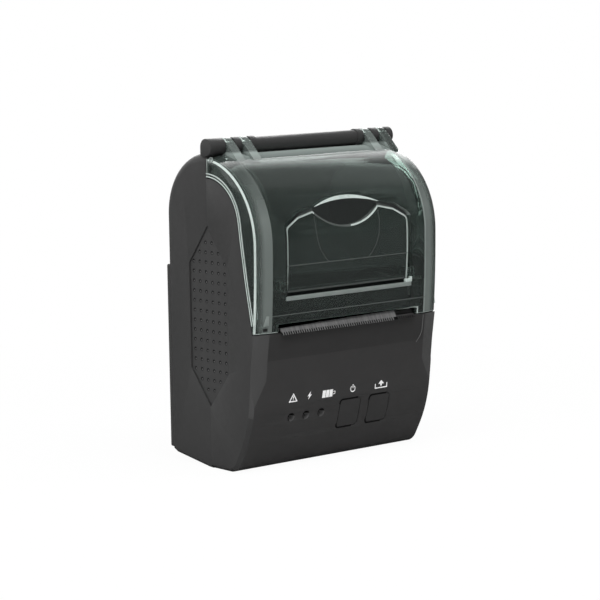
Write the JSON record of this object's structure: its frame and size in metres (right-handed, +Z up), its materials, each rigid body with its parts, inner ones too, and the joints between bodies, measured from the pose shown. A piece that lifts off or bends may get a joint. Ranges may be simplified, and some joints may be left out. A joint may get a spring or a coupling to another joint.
{
  "type": "portable thermal printer",
  "caption": "Pocket thermal printer standing on end, with a hinged translucent cover, a paper bay, a serrated tear bar and square keys.",
  "frame": {"origin": "middle of the footprint, on the surface it stands on", "axes": "+X across the paper, to the right as seen from the front, +Y from front to back, +Z up along the length"},
  "size_m": [0.08, 0.049, 0.1091],
  "materials": {
    "housing": "fine satin grain, charcoal",
    "grip": "satin, with small raised dots",
    "key": "satin",
    "cover": "clear smoke green, polished",
    "frame": "black, satin",
    "tear_bar": "dull, serrated",
    "steel": "drawn",
    "aluminium": "extruded",
    "ceramic": "glazed ceramic",
    "rubber": "matt",
    "gear": "moulded, natural",
    "brass": "plain",
    "board": "green solder mask",
    "switch": "moulded",
    "lamp": "clear lens",
    "cable": "flat flexible cable",
    "battery": "shrink wrapped"
  },
  "bodies": {
    "housing": {"rear_shell": "housing", "front_shell": "housing", "side_grip_left": "grip", "side_grip_right": "grip", "tear_bar": "tear_bar", "mechanism_frame": "frame", "print_head": "ceramic", "head_heatsink": "aluminium", "head_spring": "steel", "idler_axle": "steel", "stepper_motor": "steel", "paper_tray": "frame", "main_board": "board", "key_switches": "switch", "status_leds": "lamp", "usb_port": "steel", "board_chips": "switch", "buzzer": "switch", "head_cable": "cable", "paper_sensor": "switch", "battery_pack": "battery", "battery_contacts": "brass", "rear_feet": "rubber", "case_screws": "steel", "frame_screws": "steel", "board_screws": "steel", "hinge_pins": "steel"},
    "cover": {"paper_cover": "cover", "platen_bushes": "gear"},
    "lever": {"release_lever": "cover"},
    "platen": {"platen_shaft": "steel", "platen_rubber": "rubber", "platen_gear": "gear"},
    "idler": {"idler_gear": "gear"},
    "pinion": {"motor_pinion": "brass"},
    "power_key": {"power_button": "key"},
    "feed_key": {"feed_button": "key"},
    "door": {"battery_door": "housing"}
  },
  "joints": [
    {"name": "cover_hinge", "type": "hinge", "parent": "housing", "child": "cover", "pos_m": [0, 0.0012, 0.1063], "axis": [-1, 0, 0], "range_deg": [0, 95]},
    {"name": "lever_tilt", "type": "hinge", "parent": "cover", "child": "lever", "pos_m": [0, -0.0214, 0.0616], "axis": [1, 0, 0], "range_deg": [0, 20], "stiffness_Nm_per_rad": 0.03},
    {"name": "platen_spin", "type": "hinge", "parent": "cover", "child": "platen", "pos_m": [0, -0.0152, 0.054], "axis": [1, 0, 0], "continuous": true},
    {"name": "idler_spin", "type": "hinge", "parent": "housing", "child": "idler", "pos_m": [0.0347, -0.00518, 0.05086], "axis": [1, 0, 0], "continuous": true},
    {"name": "pinion_spin", "type": "hinge", "parent": "housing", "child": "pinion", "pos_m": [0.0347, -0.00043, 0.04381], "axis": [1, 0, 0], "continuous": true},
    {"name": "power_press", "type": "slide", "parent": "housing", "child": "power_key", "axis": [0, 1, 0], "range_m": [0, 0.0004], "stiffness_N_per_m": 300},
    {"name": "feed_press", "type": "slide", "parent": "housing", "child": "feed_key", "axis": [0, 1, 0], "range_m": [0, 0.0004], "stiffness_N_per_m": 300},
    {"name": "door_removal", "type": "slide", "parent": "housing", "child": "door", "axis": [0, 1, 0], "range_m": [0, 0.03]}
  ],
  "couplings": [
    {"joint": "idler_spin", "follows": "platen_spin", "ratio": -0.75},
    {"joint": "pinion_spin", "follows": "platen_spin", "ratio": 1.8}
  ]
}
